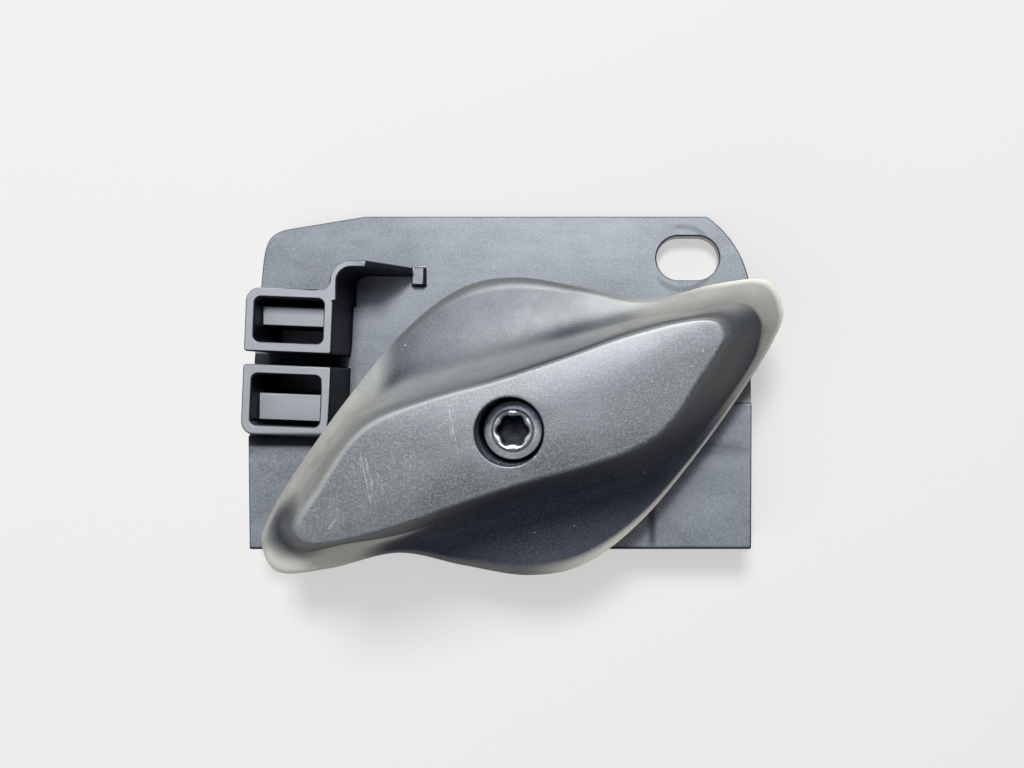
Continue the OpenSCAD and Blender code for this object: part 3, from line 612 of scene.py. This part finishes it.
def grip_finish():
    """Black nylon, worn grey on the flat top, grey on the upper flank as wear and painted light, rubbed to a
    pale beige at the tips, with painted shade in the creases and painted highlights along the lip and the
    upper crease.
    """
    made, tree, shader = material("grained_grip", 0.5, 0.3)
    place = object_place(tree)
    grain = grained(tree, place, 0.31)
    tone, blotch = clouds(tree, place, 11.0), clouds(tree, place, 4.2)
    top, rubbed, painted_shade = (attribute(tree, name) for name in ("top", "rubbed", "painted_shade"))
    kept = times(tree, share_of(tree, top, 0.74, 1.0), share_of(tree, rubbed, 1.0, 0.35),
                 share_of(tree, painted_shade, 1.0, 0.25), share_of(tree, blotch, 0.84, 1.0))
    polished(tree, shader, times(tree, facing(tree, 0.72, 0.93), kept))

    worn_top = mixed(tree, tone, *GRIP_TOP)
    worn_top = painted(tree, worn_top, GRIP_TOP_BLOTCH, blotch, 0.5)
    worn_top = painted(tree, worn_top, GRIP_TOP_SPECK, grain["Specks"], 0.75)
    # Grey of the upper flank: wear, and painted light on the side turned to the lamp
    grey = painted(tree, mixed(tree, attribute(tree, "warm"), *GRIP_GREY), GRIP_GREY_BLOTCH, blotch, 0.35)
    # Beige of the rubbed tips; its paler part on the left tip's lower flange is painted light
    beige = mixed(tree, attribute(tree, "pale"), mixed(tree, tone, *GRIP_BEIGE), GRIP_LIT_BEIGE)
    colour = mixed(tree, top, mixed(tree, grain["Specks"], *GRIP_BLACK), worn_top)
    colour = mixed(tree, attribute(tree, "greyed"), colour, grey)
    colour = mixed(tree, rubbed, colour, beige)
    # Painted shade in the creases under the crest, the left tip's corner and pocket, and the valley
    colour = mixed(tree, painted_shade, colour, GRIP_SHADE)
    # Painted highlight along the lip's edge
    colour = mixed(tree, attribute(tree, "rim"), colour, GRIP_RIM_HIGHLIGHT)
    # Painted highlight along the crease on the upper side
    colour = painted(tree, colour, GRIP_CREASE_LIGHT, attribute(tree, "crease_highlight"), 0.8)
    marks = strongest(tree, scratches(tree, place, TOP_SCRATCHES), scuffs(tree, place, TOP_SCUFFS))
    colour = painted(tree, colour, GRIP_MARK, times(tree, marks, top), 0.55)
    colour = painted(tree, colour, GRIP_DUST, dusty(tree, place, 1.6, 0.03), 0.3)
    tree.links.new(colour, shader.inputs["Base Color"])

    rough = maths(tree, "ADD", times(tree, tone, 0.05), 0.46)
    rough = maths(tree, "ADD", rough, times(tree, rubbed, 0.12))
    tree.links.new(rough, shader.inputs["Roughness"])
    bumped(tree, shader, grain["Height"], 0.13)
    return made


def bracket_dirt_and_shade(tree, place, axes, tone, streaks):
    """Where the bracket is darker than its film: smudges and a pressed ring, and painted shade at the lower
    edge and by the sockets.
    """
    smudge = times(tree, band(tree, axes["Y"], *SMUDGE), ramp(tree, streaks, 0.1, 0.9, 0.2, 0.7))
    streak = times(tree, band(tree, axes["X"], *STREAK_X), band(tree, axes["Y"], *STREAK_Y))
    middle = tuple(length * MM for length in IMPRINT_AT)
    radius = vector(tree, "DISTANCE", {0: place, 1: middle}, "Value")
    imprint = times(tree, band(tree, radius, *IMPRINT), ramp(tree, tone, 0.1, 0.8))
    # Painted shade in the gap between the sockets, and painted shadow under the lower socket
    beside = times(tree, band(tree, axes["Y"], *GAP_SHADE_Y), falling(tree, axes["Z"], *GAP_SHADE_Z))
    painted_shade = strongest(tree, beside, band(tree, axes["Y"], *SOCKET_SHADOW_Y))
    painted_shade = times(tree, painted_shade, falling(tree, axes["X"], *SHADE_X))
    smears = times(tree, strongest(tree, smudge, streak), 0.7)
    # Smears, the pressed ring, and painted shade along the deck's lower edge and at the sockets
    return strongest(tree, smears, falling(tree, axes["Y"], *SHADED_LOWER_EDGE), times(tree, imprint, 0.35), painted_shade)


def bracket_finish():
    """Black nylon with a cloudy film of dust on the faces that look up, with smudges, painted shade on the
    walls, the lower edge and by the sockets, and painted light on the rims, the key bars, the slot's wall and
    the ramp.
    """
    made, tree, shader = material("grained_bracket", 0.5, 0.3)
    place = object_place(tree)
    axes = add_node(tree, "ShaderNodeSeparateXYZ", {"Vector": place}).outputs
    grain = grained(tree, place, 0.34)
    tone, blotch = clouds(tree, place, 12.0), clouds(tree, place, 3.8)
    streaks = clouds(tree, vector(tree, "MULTIPLY", {0: place, 1: (0.25, 1.0, 1.0)}), 5.0)
    dirt_and_shade = bracket_dirt_and_shade(tree, place, axes, tone, streaks)

    film = painted(tree, mixed(tree, tone, *FILM), FILM_STREAK, streaks, 0.35)
    film = painted(tree, film, FILM_BLOTCH, blotch, 0.3)
    film = painted(tree, film, FILM_SPECK, grain["Specks"], 0.6)
    # Painted light: the rims, the wall next to them and the key bars in the sockets are paler
    raised_light = times(tree, rising(tree, axes["Z"], *RAISED_Z), falling(tree, axes["X"], *RAISED_X),
                   rising(tree, axes["Y"], *RAISED_Y))
    film = painted(tree, film, FILM_RAISED_LIGHT, raised_light, 0.7)
    # The film lies on faces turned up and towards the window; walls turned away stay black, partly as painted
    # shade
    clean = maths(tree, "SUBTRACT", 1.0, dirt_and_shade)
    colour = mixed(tree, times(tree, facing(tree, 0.72, 0.88, FILM_AND_LIGHT_WAY), clean), BRACKET_BLACK, film)

    # Painted light: the slot's wall is pale even in its shade
    in_slot = times(tree, band(tree, axes["X"], *SLOT_X), band(tree, axes["Y"], *SLOT_Y))
    lit_slot_wall = maths(tree, "SUBTRACT", in_slot, times(tree, in_slot, facing(tree, 0.2, 0.7)))
    colour = mixed(tree, lit_slot_wall, colour, SLOT_WALL_LIGHT)
    # Painted light: the ramp's right part is pale where it faces the window
    on_ramp = times(tree, band(tree, axes["Y"], *RAMP_Y), rising(tree, axes["X"], *RAMP_X),
                    facing(tree, 0.15, 0.4))
    colour = painted(tree, colour, RAMP_LIGHT, on_ramp, share_of(tree, blotch, 0.5, 0.95))
    colour = painted(tree, colour, BRACKET_DUST, dusty(tree, place, 1.7, 0.02), 0.4)
    tree.links.new(colour, shader.inputs["Base Color"])

    sheen = times(tree, facing(tree, 0.8, 0.97), maths(tree, "SUBTRACT", 0.85, dirt_and_shade, clamp=True))
    polished(tree, shader, times(tree, sheen, share_of(tree, streaks, 1.0, 0.85)))
    tree.links.new(maths(tree, "ADD", times(tree, tone, 0.06), 0.47), shader.inputs["Roughness"])
    bumped(tree, shader, grain["Height"], 0.08, 0.5)
    return made


def screw_finish():
    """Satin plating, turned in fine rings round the axis, with painted shade darkening the recess."""
    made, tree, shader = material("satin_plated_steel", 0.38, metallic=0.9)
    place = object_place(tree)
    grain = grained(tree, place, 0.45)
    flat = vector(tree, "MULTIPLY", {0: place, 1: (1.0, 1.0, 0.0)})
    radius = vector(tree, "DISTANCE", {0: flat, 1: on_grip((0.0, 0.0))}, "Value")
    rings = add_node(tree, "ShaderNodeTexNoise", {"W": radius, "Scale": 4500.0, "Detail": 1.0},
                     noise_dimensions="1D").outputs["Fac"]
    bright = painted(tree, mixed(tree, rings, *PLATING), PLATING_SPECK, grain["Specks"], 0.5)
    # Painted shade: the recess is near black
    colour = mixed(tree, attribute(tree, "recess"), bright, RECESS_SHADE)
    tree.links.new(colour, shader.inputs["Base Color"])
    bumped(tree, shader, maths(tree, "ADD", rings, grain["Height"]), 0.03, 0.5)
    return made


def steel_finish(name, colour, roughness, pitch):
    """Grained metal of one colour, a little over half as bright between the grain's peaks."""
    made, tree, shader = material(name, roughness, metallic=0.9)
    grain = grained(tree, object_place(tree), pitch)
    shade = tuple(0.55 * c for c in colour)
    tree.links.new(mixed(tree, grain["Specks"], (*shade, 1), (*colour, 1)), shader.inputs["Base Color"])
    bumped(tree, shader, grain["Height"], 0.05, 0.4)
    return made


grip_plastic = grip_finish()
bracket_plastic = bracket_finish()
screw_steel = screw_finish()
cast_zinc = steel_finish("cast_zinc", (0.55, 0.55, 0.57), 0.5, 0.6)
spring_steel = steel_finish("spring_steel", (0.5, 0.5, 0.5), 0.35, 0.3)


# The pieces

def grip_wear_and_light(flat, fall):
    """The wear and the painted light and shade at each point of the shell, from its place in plan and from
    where its ring lies.

    The flat top is worn grey, and the upper flank is grey as wear and as painted light on the side turned to
    the lamp. The flanges at the tips are rubbed beige on the side that the fingers press, and the left tip's
    lower flange is paler still as painted light. The lip's edge and the upper crease carry painted
    highlights, and the lines under the crest, the left tip's corner and pocket and the valley carry painted
    shade. The steep ends stay black. The ranges of the steps are millimetres along and across the ridge or
    from the skirt's edge, or shares of the way down."""
    along = flat @ RIDGE
    aside = flat @ ACROSS
    edge = np.linalg.norm(flat - SKIRT, axis=-1)
    outside = (fall >= -0.1) & (fall <= 2)
    upper = step(aside, -1.0, 3.0)

    top = np.where((fall >= -0.5) & (fall < 0), 1.0, 1 - step(fall, 0.0, 0.03))
    top = np.where((fall < -0.5) | (fall > 2), 0.0, top)
    # Painted highlight: a paler line along the crease on the upper side, where it catches the light
    crease = step(fall, -0.15, -0.09) * (1 - step(fall, 0.004, 0.03))
    crease_highlight = crease * step(aside, -2, 6) * 0.45 * step(along, -26, -14) * (1 - step(along, -2, 6))

    # Greyed: the upper flank, without the round disc, the steep right end and the pocket at the left tip. Its
    # grey is partly wear and partly painted light on the side turned to the lamp; the valley keeps less of
    # it.
    reach = np.linalg.norm(SKIRT - FOOT, axis=1)
    beside_disc = 1 - step(fall, 0.4, 0.75) * step(reach, 6, 10)
    left_end = 1 - step(np.hypot((along + 39.0) / 6.5, (aside - 1.0) / 5.4), 0.45, 1.15)
    pocket = left_end * step(edge, 0.5, 1.4)
    steep_end = step(along, 29, 35.5) * (1 - 0.7 * step(aside, -2.5, 3)) * (1 - step(fall, 0.38, 0.55))
    valley = upper * step(along, 7, 13) * (1 - step(along, 21, 28)) * step(fall, 0.4, 0.6)
    greyed = upper * beside_disc * (1 - steep_end) * (1 - pocket) * (0.6 + 0.4 * step(fall, 0.0, 0.2))

    # Rubbed: the flanges at both tips and the upper edge at the left one
    narrowing = 0.42 + 0.33 * step(-aside, 2, 6)
    right_flange = step(along, 22, 36) * step(fall, narrowing, narrowing + 0.16)
    right_flange = right_flange * (1 - 0.5 * step(-aside, 9, 14))
    fade = step(-along - 12 - 16 * fall, 0, 7)
    left_flange = fade * step(fall, 0.27, 0.38) * (1 - upper) * (1 - pocket)
    left_edge = step(-along, 22, 32) * (1 - step(edge, 0.4, 1.4)) * upper
    rubbed = np.maximum.reduce([right_flange, left_flange, left_edge])

    # Painted shade: dark lines under the crest on both sides, the corner at the left tip, the valley and the
    # pocket, where shade falls
    upper_line = upper * step(along, -6, 8) * step(fall, 0.0, 0.012) * (1 - step(fall, 0.03, 0.08))
    lower_line = (1 - upper) * step(-along, -2, 12) * step(fall, -0.03, 0.0) * (1 - step(fall, 0.24, 0.36))
    corner = 1 - step(np.hypot((along + 36.5) / 4.5, (aside + 1.2) / 2.9), 0.4, 1.1)
    corner = corner * step(fall, -0.03, 0.0)
    painted_shade = np.maximum.reduce([0.8 * upper_line, lower_line, corner, 0.1 * valley, 0.4 * pocket])

    # Painted highlight: a pale line along the lip's edge, strongest on the lower right side, where the edge
    # catches the light
    lip = np.where(fall <= 1, 1 - step(edge, 0.1, 0.4), 1 - step(fall, 1.25, 1.5))
    highlit_side = step(flat[..., 0] * 0.9 - flat[..., 1] * 0.45, 10, 22)
    rim = lip * (0.15 + 0.85 * highlit_side) * (1 - step(fall, 1.2, 1.4))
    return {
        "top": top,
        "crease_highlight": crease_highlight,
        "rubbed": np.where(outside, rubbed, 0.0),
        # The left tip's lower flange is paler still: painted light where the ridge shades it
        "pale": np.where(outside, left_flange, 0.0),
        "greyed": np.where(outside, greyed * (1 - 0.55 * valley), 0.0),
        "painted_shade": np.where(outside, painted_shade, 0.0),
        "warm": step(along, 10, 24) + step(-along, 6, 24),
        "rim": np.where(outside, rim, 0.0),
    }


def make_grip():
    """The shell: the grid of rings, closed from the last ring back to the first."""
    rings, fall = grip_rings()
    count, around = rings.shape[:2]
    i = np.arange(around)
    last = (count - 1) * around
    closing = np.column_stack([last + i, last + (i + 1) % around, (i + 1) % around, i])
    faces = np.concatenate([grid_faces(count, around), closing])[:, ::-1]
    points = (rings + np.array([*PIVOT, 0])).reshape(-1, 3)
    grip = new_piece("grip_shell", points, faces.tolist(), grip_plastic, "grip")
    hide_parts("handle")
    for name, values in grip_wear_and_light(rings[..., :2], fall).items():
        set_attribute(grip, name, values)


def flank_cut(at, side):
    """Where the ridge's flank crosses the line across the ridge at a distance along it, for rings down the
    flank: the distance to the side, less half a wall, and the height."""
    places, heights = [], []
    for t in np.linspace(0, RIB_FOOT, RIB_STATIONS):
        ring = flank(t)
        along, aside = ring[:, :2] @ RIDGE, ring[:, :2] @ ACROSS
        half = np.flatnonzero(aside * side > 0)
        order = half[np.argsort(along[half])]
        places.append(np.interp(at, along[order], aside[order]) - side * WALL / 2)
        heights.append(np.interp(at, along[order], ring[order, 2]))
    return np.array(places), np.minimum(heights, CREST_H - WALL / 2)


def rib_mesh(start, ends, tops):
    """A rib as a profile along a path: rectangles from the rib's lower edge to its top at each station.

    The stations are flat points; the rib's two faces lie half its thickness to each side of them. The
    faces count their points from start."""
    way = (ends[-1] - ends[0]) / np.linalg.norm(ends[-1] - ends[0])
    side = np.array([-way[1], way[0]]) * RIB_HALF
    corners = [lifted(ends - side, RIB_LOW), lifted(ends + side, RIB_LOW),
               lifted(ends + side, tops), lifted(ends - side, tops)]
    points = np.stack(corners, axis=1).reshape(-1, 3)
    last = len(points) - 4
    caps = [[0, 1, 2, 3], [last + 3, last + 2, last + 1, last]]
    faces = grid_faces(len(ends), 4)[:, ::-1].tolist() + caps
    return points, [[start + corner for corner in face] for face in faces]


def make_ribs():
    """The ribs under the ridge: one along it each way from the hub, and two across it on each side."""
    tip = int(np.argmax(FOOT @ RIDGE))
    line = np.array([flank(t)[tip] for t in np.linspace(0, RIB_FOOT, RIB_STATIONS)])
    roof = CREST_H - WALL / 2
    out = np.concatenate([[HUB_R - 0.5], line[:, :2] @ RIDGE - WALL / 2])
    top = np.concatenate([[roof], np.minimum(line[:, 2], roof)])
    parts = [(side * out[:, None] * RIDGE, top) for side in (1, -1)]
    for at in RIB_PLACES:
        for end in (at, -at):
            lower, low_top = flank_cut(end, -1)
            upper, up_top = flank_cut(end, 1)
            aside = np.concatenate([lower[::-1], upper])
            parts.append((end * RIDGE + aside[:, None] * ACROSS, np.concatenate([low_top[::-1], up_top])))
    points, faces = [], []
    for ends, tops in parts:
        more, quads = rib_mesh(sum(len(part) for part in points), ends, tops)
        points.append(more)
        faces += quads
    points = np.concatenate(points) + np.array([*PIVOT, 0])
    new_piece("grip_ribs", points, faces, grip_plastic, "grip", smooth=False)


def screw_profile():
    """The screw from its end up: a radius, a height over the seat and a share of the recess's wave."""
    floor = RING_H - RECESS_DEPTH
    shank = [(SHANK_R - 0.35, -SHANK_LEN, 0), (SHANK_R, 0.4 - SHANK_LEN, 0), (SHANK_R, -0.2, 0),
             (SHANK_R + 0.1, 0, 0)]
    collar = [(COLLAR_R - 0.15, 0, 0), (COLLAR_R, 0.15, 0), (COLLAR_R, COLLAR_H - 0.35, 0),
              (COLLAR_R - 0.1, COLLAR_H - 0.1, 0), (COLLAR_R - 0.35, COLLAR_H, 0)]
    ring = [(RING_R + 0.35, COLLAR_H + 0.02, 0), (RING_R + 0.08, COLLAR_H + 0.08, 0),
            (RING_R, COLLAR_H + 0.25, 0), (RING_R - 0.12, RING_H - 0.12, 0), (RING_R - 0.32, RING_H, 0)]
    recess = [(RECESS_R + 0.36, RING_H - 0.02, 0.5), (RECESS_R + 0.14, RING_H - 0.12, 1),
              (RECESS_R, RING_H - 0.35, 1), (RECESS_R, floor, 1), (RECESS_R * 0.6, floor - 0.02, 0.3)]
    return np.array(shank + collar + ring + recess).T


def make_screw():
    """The screw: its profile turned round the axis, with the radius r + RECESS_WAVE w cos(6 angle), where r
    and w are the profile's radius and share of the wave. Both ends close in a point."""
    angle = np.linspace(0, 2 * math.pi, 96, endpoint=False)
    radius, height, wave = screw_profile()
    reach = radius[:, None] + RECESS_WAVE * wave[:, None] * np.cos(6 * angle)
    heights = np.broadcast_to(height[:, None], reach.shape)
    rings = np.stack([reach * np.cos(angle), reach * np.sin(angle), heights], axis=-1)
    count, around = reach.shape
    ends = np.array([[0, 0, height[0]], [0, 0, height[-1] - 0.2]])
    points = np.concatenate([rings.reshape(-1, 3), ends]) + np.array([*PIVOT, HEAD_SEAT])
    i = np.arange(around)
    last = (count - 1) * around
    tip = np.column_stack([(i + 1) % around, i, np.full(around, count * around)])
    floor = np.column_stack([last + i, last + (i + 1) % around, np.full(around, count * around + 1)])
    faces = grid_faces(count, around).tolist() + tip.tolist() + floor.tolist()
    screw = new_piece("clamping_screw", points, faces, screw_steel, "grip")
    screw.data.set_sharp_from_angle(angle=math.radians(35))
    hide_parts("handle_screw")
    # The recess's rings carry painted shade
    shaded_recess = np.repeat(step(np.arange(count), count - 5, count - 2) * 0.97, around)
    set_attribute(screw, "recess", np.concatenate([shaded_recess, [0.0, 1.0]]))


# How the bracket's copy is softened: points closer than the weld are one, faces flatter than the flat angle
# are joined, and edges sharper than the sharp angle are rounded
WELD = 0.002
FLAT_ANGLE = math.radians(0.4)
SHARP_ANGLE = math.radians(30)
EDGE_ROUND = 0.25

# The plate's upper left corner: it lies left of and above this point, under this height, and its new bend
# has a start, a peak, an end and a pull
CORNER_X, CORNER_Y, CORNER_TOP = -68.9, -1.8, 3.01
CORNER_START, CORNER_PEAK, CORNER_END = (-74.62, -1.75), (-74.1, 4.6), (-68.95, 5.28)
CORNER_PULL = 1.6

# The key bars in the sockets lie left of here; their height in the model and their full height
BARS_X, BARS_LOW, BARS_FULL = -58.0, 7.0, 9.8


def softened_copy(node, name, finish):
    """A copy of a CAD node whose flat faces are joined and whose edges are rounded."""
    mesh = nodes[node].data.copy()
    mesh.name = name
    work = bmesh.new()
    work.from_mesh(mesh)
    bmesh.ops.remove_doubles(work, verts=work.verts, dist=WELD * MM)
    bmesh.ops.dissolve_limit(work, angle_limit=FLAT_ANGLE, verts=work.verts, edges=work.edges)
    work.to_mesh(mesh)
    work.free()
    mesh.materials.clear()
    mesh.materials.append(finish)
    piece = bpy.data.objects.new(name, mesh)
    scene.collection.objects.link(piece)
    mesh.shade_smooth()
    mesh.set_sharp_from_angle(angle=SHARP_ANGLE)
    bevel = piece.modifiers.new("rounded_edges", "BEVEL")
    bevel.width = EDGE_ROUND * MM
    bevel.segments = 2
    bevel.limit_method = "ANGLE"
    bevel.angle_limit = SHARP_ANGLE
    bevel.use_clamp_overlap = False
    weighted = piece.modifiers.new("flat_faces", "WEIGHTED_NORMAL")
    weighted.keep_sharp = True
    weighted.weight = 100
    return piece


def shape_bracket(mesh):
    """Rounds the plate's upper left corner as one bend through its points in their order round the corner,
    and brings the key bars in the sockets to their full height."""
    points = np.empty(len(mesh.vertices) * 3)
    mesh.vertices.foreach_get("co", points)
    points = points.reshape(-1, 3) / MM
    x, y, z = points.T
    corner = (x < CORNER_X) & (y > CORNER_Y) & (z < CORNER_TOP)
    turn = np.round(np.arctan2(y[corner] - CORNER_Y, CORNER_X - x[corner]), 4)
    kinds, rank = np.unique(turn, return_inverse=True)
    t = (rank / (len(kinds) - 1))[:, None]
    start, peak, end = (np.array(place) for place in (CORNER_START, CORNER_PEAK, CORNER_END))
    points[np.flatnonzero(corner)[:, None], [0, 1]] = bend(start, peak, end, CORNER_PULL, t)
    bars = (x < BARS_X) & (np.abs(z - BARS_LOW) < 0.01)
    points[bars, 2] = BARS_FULL
    mesh.vertices.foreach_set("co", (points * MM).ravel())
    mesh.update()


make_grip()
make_ribs()
make_screw()

bracket = softened_copy("bracket", "bracket_moulding", bracket_plastic)
shape_bracket(bracket.data)
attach(bracket, "bracket")
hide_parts("bracket")

for node, finish in (("cable_lever", cast_zinc), ("return_spring", spring_steel)):
    nodes[node].data.materials.clear()
    nodes[node].data.materials.append(finish)


# Table, light and camera

# The table's colour, and how strongly it glows for the camera and for reflections
TABLE_COLOUR = (0.18, 0.173, 0.165, 1)
TABLE_GLOW = 0.50

# The light from all round, and what the camera sees past the table
ROOM_LIGHT, ROOM_STRENGTH = (0.5, 0.7, 1.0, 1), 0.035
ROOM_SEEN, SEEN_STRENGTH = (0.93, 0.94, 0.95, 1), 0.9


def make_table():
    """A wide table just under the part. It is seen, straight or as a reflection, brighter than it is lit."""
    bpy.ops.mesh.primitive_plane_add(size=12, location=(0, 0, -0.0001))
    table = bpy.context.object
    table.name = "table"
    finish, tree, shader = material("table_white", 0.9, 0.0)
    shader.inputs["Base Color"].default_value = TABLE_COLOUR
    shader.inputs["Emission Color"].default_value = (1, 1, 1, 1)
    ray = tree.nodes.new("ShaderNodeLightPath").outputs
    glow = times(tree, strongest(tree, ray["Is Camera Ray"], ray["Is Glossy Ray"]), TABLE_GLOW)
    tree.links.new(glow, shader.inputs["Emission Strength"])
    table.data.materials.append(finish)


def make_room():
    """A dim blue light from all round, and a pale wall where the camera sees past the table."""
    world = bpy.data.worlds.new("room")
    scene.world = world
    world.use_nodes = True
    tree = world.node_tree
    lit = tree.nodes["Background"]
    lit.inputs["Color"].default_value = ROOM_LIGHT
    lit.inputs["Strength"].default_value = ROOM_STRENGTH
    seen = add_node(tree, "ShaderNodeBackground", {"Color": ROOM_SEEN, "Strength": SEEN_STRENGTH})
    by_camera = tree.nodes.new("ShaderNodeLightPath").outputs["Is Camera Ray"]
    chosen = add_node(tree, "ShaderNodeMixShader", {
        0: by_camera, 1: lit.outputs["Background"], 2: seen.outputs["Background"]})
    tree.links.new(chosen.outputs["Shader"], tree.nodes["World Output"].inputs["Surface"])


def soft_light(name, place, aim, size, power, colour):
    """A rectangular lamp at a place, turned to the point that it is aimed at."""
    lamp = bpy.data.lights.new(name, "AREA")
    lamp.shape = "RECTANGLE"
    lamp.size, lamp.size_y = size
    lamp.energy = power
    lamp.color = colour
    holder = bpy.data.objects.new(name, lamp)
    scene.collection.objects.link(holder)
    holder.location = place
    holder.rotation_euler = (Vector(aim) - holder.location).to_track_quat("-Z", "Y").to_euler()
    return holder


make_table()
soft_light("window", (-0.03, 0.42, 0.65), (-0.01, -0.02, 0.01), (0.22, 0.20), 11.2, (0.94, 0.98, 1.0))
fill = soft_light("fill", (-0.30, -0.34, 0.36), (-0.03, -0.04, 0.01), (0.7, 0.7), 3.4, (1.0, 0.99, 0.97))
fill.visible_glossy = False
soft_light("high_window", (0.0, 0.24, 0.74), (-0.01, -0.02, 0.01), (0.5, 0.1), 1.0, (0.70, 0.85, 1.0))
make_room()

lens = bpy.data.cameras.new("view")
lens.sensor_width = 36
lens.lens = 30.06
lens.shift_x = -0.1071
lens.clip_start = 0.005
camera = bpy.data.objects.new("view", lens)
scene.collection.objects.link(camera)
camera.location = (-0.0116, -0.0221, 0.153)
scene.camera = camera

scene.view_settings.view_transform = "Standard"
